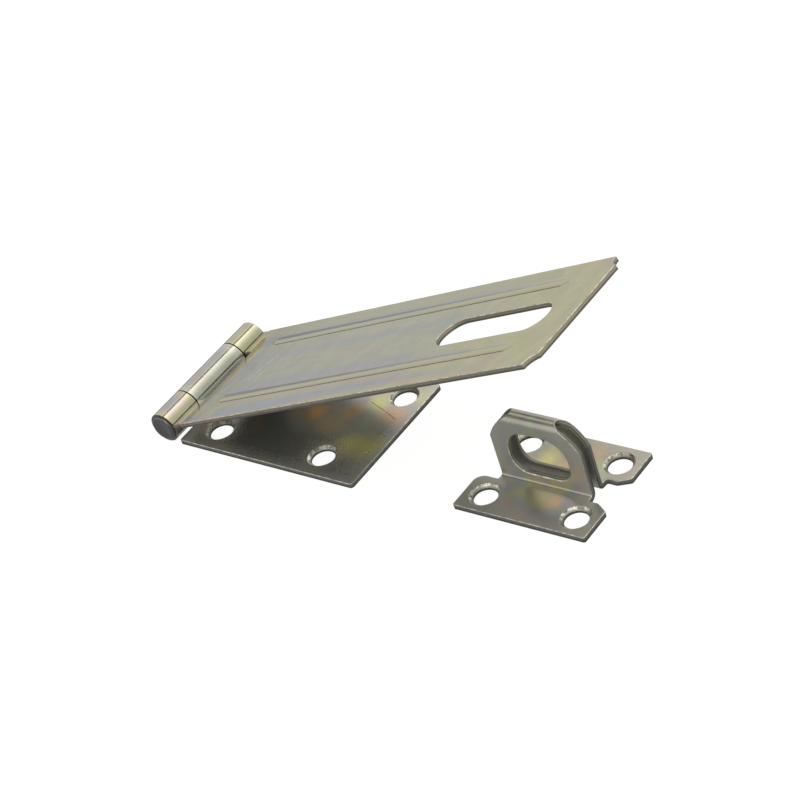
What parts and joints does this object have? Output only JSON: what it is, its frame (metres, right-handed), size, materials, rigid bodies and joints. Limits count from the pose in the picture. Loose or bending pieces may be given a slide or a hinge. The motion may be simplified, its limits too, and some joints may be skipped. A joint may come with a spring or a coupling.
{
  "type": "hasp and staple",
  "caption": "Safety hasp: a screw-down leaf hinged to a long ribbed, slotted strap, with a separate folded staple whose loop takes a padlock.",
  "frame": {"origin": "on the mounting plane, midway between the base leaf's four screw holes", "axes": "+X from the hinge towards the staple, +Y along the hinge pin, +Z out of the mounting surface"},
  "size_m": [0.1427, 0.043, 0.0586],
  "materials": {
    "base_leaf": "iridescent yellow zinc plating on sheet steel",
    "strap": "iridescent yellow zinc plating on sheet steel",
    "hinge_pin": "dull plated steel with a headed rim",
    "staple": "iridescent yellow zinc plating on sheet steel"
  },
  "bodies": {
    "leaf": {"base_leaf": "base_leaf"},
    "strap": {"strap": "strap", "hinge_pin": "hinge_pin"},
    "staple": {"staple": "staple"}
  },
  "joints": [
    {"name": "strap_hinge", "type": "hinge", "parent": "leaf", "child": "strap", "pos_m": [-0.0356, 0, 0.0045], "axis": [0, -1, 0], "range_deg": [-21.3, 158.7]},
    {"name": "staple_withdraw", "type": "slide", "parent": "leaf", "child": "staple", "axis": [0, 0, -1], "range_m": [0, 0.035]}
  ]
}
